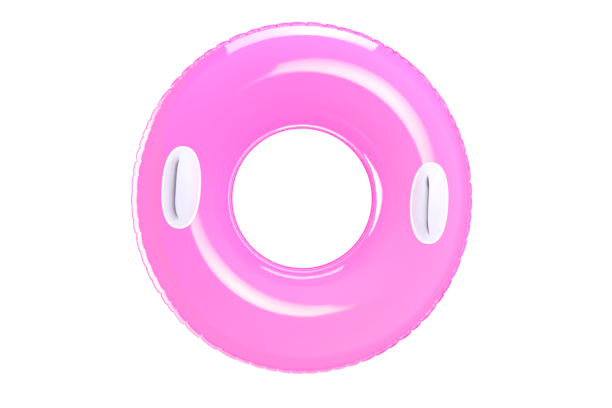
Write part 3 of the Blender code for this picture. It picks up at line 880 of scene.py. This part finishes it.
def build_handles(material):
    left = Handle(middle=(-HANDLE_CENTRE - 0.0035, -0.0012), slot_middle=-0.0040, line=-0.0080,
                  lap=0.0036, bends=(0.0020, 0.0068), slits=(0.0008, 0.0006), left_height=0.62,
                  sunk=0.78, raised=0.03, shade=0.50)
    right = Handle(middle=(HANDLE_CENTRE + 0.0014, -0.0031), slot_middle=-0.0050, line=-0.0052,
                   lap=0.0050, bends=(-0.0030, 0.0052), slits=(0.0012, -0.0004), left_height=0.88,
                   sunk=0.48, raised=0.05, shade=0.26)
    for name, handle in (("left_handle", left), ("right_handle", right)):
        piece = handle_moulding(name, handle, material)
        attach(piece, "ring")
        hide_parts(name)


# Studio

VIEW_ROLL = math.radians(3.2)
VIEW_DISTANCE = 3.5
VIEW_LEFT = 4.0
VIEW_LOW = 3.0
MM_A_PIXEL = 2.155
FRAME_WIDTH = 612
RING_LEFT_OF_MIDDLE = 3.0    # pixels
RING_OVER_MIDDLE = 7.0
SOFTBOX_HEIGHT = 3.6
HOT_SPOT = (0.25, 0.35)      # in shares of the softbox's height, like its corners
SOFTBOX_CORNERS = ((0.022, 0.125), (0.058, 0.075), (0.094, 0.047), (0.42, 0.11), (0.80, 0.20),
                   (0.90, 0.32), (0.88, 0.66), (0.78, 0.80), (0.60, 0.93), (0.36, 0.95),
                   (0.09, 0.80), (-0.068, 0.55))
MIRRORED_PINK = screen(255, 120, 224)


def build_camera():
    right = Vector((math.cos(VIEW_ROLL), math.sin(VIEW_ROLL), 0))
    up = Vector((-math.sin(VIEW_ROLL), math.cos(VIEW_ROLL), 0))
    middle = Vector((0, 0, SEAM_HEIGHT))
    spot = middle + Vector((0, 0, VIEW_DISTANCE))
    spot -= right * (VIEW_DISTANCE * math.tan(math.radians(VIEW_LEFT)))
    spot -= up * (VIEW_DISTANCE * math.tan(math.radians(VIEW_LOW)))
    pixel = MM_A_PIXEL / 1000
    aim = middle + right * RING_LEFT_OF_MIDDLE * pixel - up * RING_OVER_MIDDLE * pixel
    data = bpy.data.cameras.new("camera")
    data.sensor_width = 36
    data.lens = 36 * (spot - middle).length / (FRAME_WIDTH * pixel)
    data.clip_end = 100
    camera = bpy.data.objects.new("camera", data)
    bpy.context.scene.collection.objects.link(camera)
    back = (spot - aim).normalized()
    across = up.cross(back).normalized()
    upright = back.cross(across)
    turn = Matrix((across, upright, back)).transposed().to_4x4()
    camera.matrix_world = Matrix.Translation(spot) @ turn
    bpy.context.scene.camera = camera


def stepped(finish, value, stops):
    """A value read off a few straight stretches, each from one place to the next."""
    total = stops[0][1]
    for (start, low), (end, high) in zip(stops, stops[1:]):
        total = finish.spread(value, start, end, 0.0, high - low) + total
    return total


def panel(name, bm, material, matrix, lights="all"):
    """A glowing panel that the camera doesn't see, to light surfaces, to be mirrored, or both."""
    piece = as_object(name, bm, material)
    piece.matrix_world = matrix
    piece.visible_camera = False
    piece.visible_shadow = False
    piece.visible_diffuse = lights != "mirrored"
    piece.visible_glossy = lights != "soft"


def build_softbox():
    """A large softbox over the ring's upper right, its far corners cut, brightest to one side."""
    bm = bmesh.new()
    corners = bmesh.ops.create_circle(bm, cap_ends=True, segments=len(SOFTBOX_CORNERS),
                                      radius=1)["verts"]
    corners.sort(key=lambda corner: math.atan2(-corner.co.y, -corner.co.x))
    for corner, (across, along) in zip(corners, SOFTBOX_CORNERS):
        corner.co = (across * SOFTBOX_HEIGHT, along * SOFTBOX_HEIGHT, 0)
    glow = Finish("softbox_glow", "ShaderNodeEmission", Strength=9.2)
    place = glow.place()
    across = glow.along(place, "X") * (1 / SOFTBOX_HEIGHT) - HOT_SPOT[0]
    along = glow.along(place, "Y") * (1 / SOFTBOX_HEIGHT) - HOT_SPOT[1]
    off = (0.168 * (across + along) ** 2 + 0.5 * (across - along) ** 2) ** 0.5
    level = stepped(glow, off, (
        (0.0, 1.0), (0.06, 0.95), (0.125, 0.80), (0.21, 0.63), (0.26, 0.55), (0.32, 0.45),
        (0.40, 0.28), (0.45, 0.15), (0.52, 0.08)))
    near_corner = glow.spread(across + along, -0.47, -0.37, 0.0, 1.0)
    glow.set(Color=glow.mix(level * near_corner, (0, 0, 0, 1), (1, 1, 0.24, 1)))
    fill = bm.copy()
    over = Matrix.Translation((0, 0, SOFTBOX_HEIGHT))
    panel("softbox", bm, glow.done(), over, "mirrored")
    light = Finish("softbox_light", "ShaderNodeEmission", Strength=2.4)
    panel("softbox_fill", fill, light.done(), over, "soft")


def strip(bm, near, far, start, end):
    """A line between two radii and heights, spun round the ring's axis from start to end."""
    turn = Matrix.Rotation(math.radians(start), 3, "Z")
    ends = [bm.verts.new(turn @ Vector((radius, 0, height))) for radius, height in (near, far)]
    line = bm.edges.new(ends)
    bmesh.ops.spin(bm, geom=ends + [line], cent=(0, 0, 0), axis=(0, 0, 1),
                   angle=math.radians(end - start), steps=max(2, round((end - start) / 3)))


def card(name, bm, colour, strength):
    """A card in the hole or past the ring, only for the ring to mirror."""
    glow = Finish(name + "_glow", "ShaderNodeEmission", Color=colour, Strength=strength)
    panel(name, bm, glow.done(), Matrix.Translation((HOLE_SHIFT[0], HOLE_SHIFT[1], 0)), "mirrored")


def build_hole_panels():
    """A soft glow on the floor inside the hole, and the cards that the hole's rim mirrors."""
    disc = bmesh.new()
    bmesh.ops.create_circle(disc, cap_ends=True, segments=64, radius=0.135)
    glow = Finish("hole_panel_glow", "ShaderNodeEmission", Strength=1.6)
    panel("hole_panel", disc, glow.done(), Matrix.Translation((0, 0, 0.0005)), "soft")
    stand = Matrix.Rotation(math.radians(90), 4, "Y") @ Matrix.Diagonal((0.052, 0.029, 1, 1))
    for name, reach, colour, strength in (("right_card", 0.050, (1, 1, 0.9, 1), 6.0),
                                          ("right_card_back", 0.049, MIRRORED_PINK, 1.0)):
        diamond = bmesh.new()
        bmesh.ops.create_circle(diamond, cap_ends=True, segments=4, radius=1)
        bmesh.ops.transform(diamond, matrix=Matrix.Translation((reach, 0.014, 0.050)) @ stand,
                            verts=diamond.verts)
        card(name, diamond, colour, strength)
    slant = bmesh.new()
    strip(slant, (0.088, 0.003), (0.127, 0.052), 56, 108)
    card("far_card", slant, (1, 1, 0.6, 1), 3.6)


def build_top_panel():
    """A glowing panel on the floor, past the ring's back edge."""
    bm = bmesh.new()
    strip(bm, (0.43, 0.002), (1.25, 0.002), 66, 119.5)
    glow = Finish("top_panel_glow", "ShaderNodeEmission")
    place = glow.place()
    across = glow.along(place, "X")
    reach = (across ** 2 + glow.along(place, "Y") ** 2) ** 0.5
    level = stepped(glow, reach, ((0.45, 2.2), (0.50, 3.2), (0.66, 5.6), (0.93, 6.6), (1.25, 7.0)))
    share = stepped(glow, across, ((-0.45, 0.55), (-0.20, 0.70), (0.0, 1.0), (0.12, 0.95),
                                   (0.35, 0.55)))
    glow.set(Color=level * share)
    panel("top_panel", bm, glow.done(), Matrix.Identity(4), "mirrored")


def build_floor():
    """White paper to the camera, with a little of the ring's shadow, and tinted where mirrored."""
    bm = bmesh.new()
    bmesh.ops.create_grid(bm, x_segments=1, y_segments=1, size=9)
    bmesh.ops.translate(bm, verts=bm.verts, vec=(0, 0, -0.0005))
    paper = Finish("floor_paper", Roughness=0.9, Specular_IOR_Level=0.0, Emission_Strength=1.0)
    rays = {"camera": paper.node("ShaderNodeLightPath", {}, {}, "Is Camera Ray"),
            "glossy": paper.node("ShaderNodeLightPath", {}, {}, "Is Glossy Ray")}
    place = paper.place()
    side = 0.35 * paper.along(place, "X") + 0.94 * paper.along(place, "Y")
    mirrored = paper.mix(paper.spread(side, 0.35, 1.6), MIRRORED_PINK, (0.8, 0.8, 0.85, 1))
    paper.set(Base_Color=paper.mix(rays["glossy"], (0.92, 0.92, 0.92, 1), (0, 0, 0, 1)))
    paper.set(Emission_Color=paper.mix(rays["glossy"], (0.12, 0.12, 0.12, 1), mirrored))
    white = paper.node("ShaderNodeEmission", {}, {"Strength": 1.05})
    both = paper.node("ShaderNodeMixShader", {},
                      {0: rays["camera"] * 0.93, 1: paper.shade(), 2: white})
    floor = as_object("floor", bm, paper.done(surface=both))


def build_sky():
    """Soft light from all round, brighter low down, and white where the camera sees it."""
    world = bpy.data.worlds.new("studio")
    bpy.context.scene.world = world
    sky = Finish("studio", "ShaderNodeBackground", owner=world)
    camera = sky.node("ShaderNodeLightPath", {}, {}, "Is Camera Ray")
    glossy = sky.node("ShaderNodeLightPath", {}, {}, "Is Glossy Ray")
    way = sky.node("ShaderNodeTexCoord", {}, {}, "Generated")
    height = sky.along(way, "Z")
    side = 0.22 * sky.along(way, "X") + 0.94 * sky.along(way, "Y")
    soft = 0.77 + 1.1 * sky.spread(height, 0.0, 1.0, 1.0, 0.0) ** 2
    mirrored = sky.spread(side, 0.0, 0.95, 0.15, 0.85)
    sky.set(Color=glossy * mirrored + (1 - glossy) * soft)
    white = sky.node("ShaderNodeBackground", {}, {"Color": (1, 1, 1, 1), "Strength": 1.0})
    seen = sky.node("ShaderNodeMixShader", {}, {0: camera, 1: sky.shade(), 2: white})
    sky.done("ShaderNodeOutputWorld", seen)


build_camera()
build_ring(pink_film(), pink_weld())
build_handles(white_moulding())
build_valve(milky_moulding())
build_floor()
build_sky()
build_softbox()
build_hole_panels()
build_top_panel()
bpy.context.scene.view_settings.view_transform = "Standard"
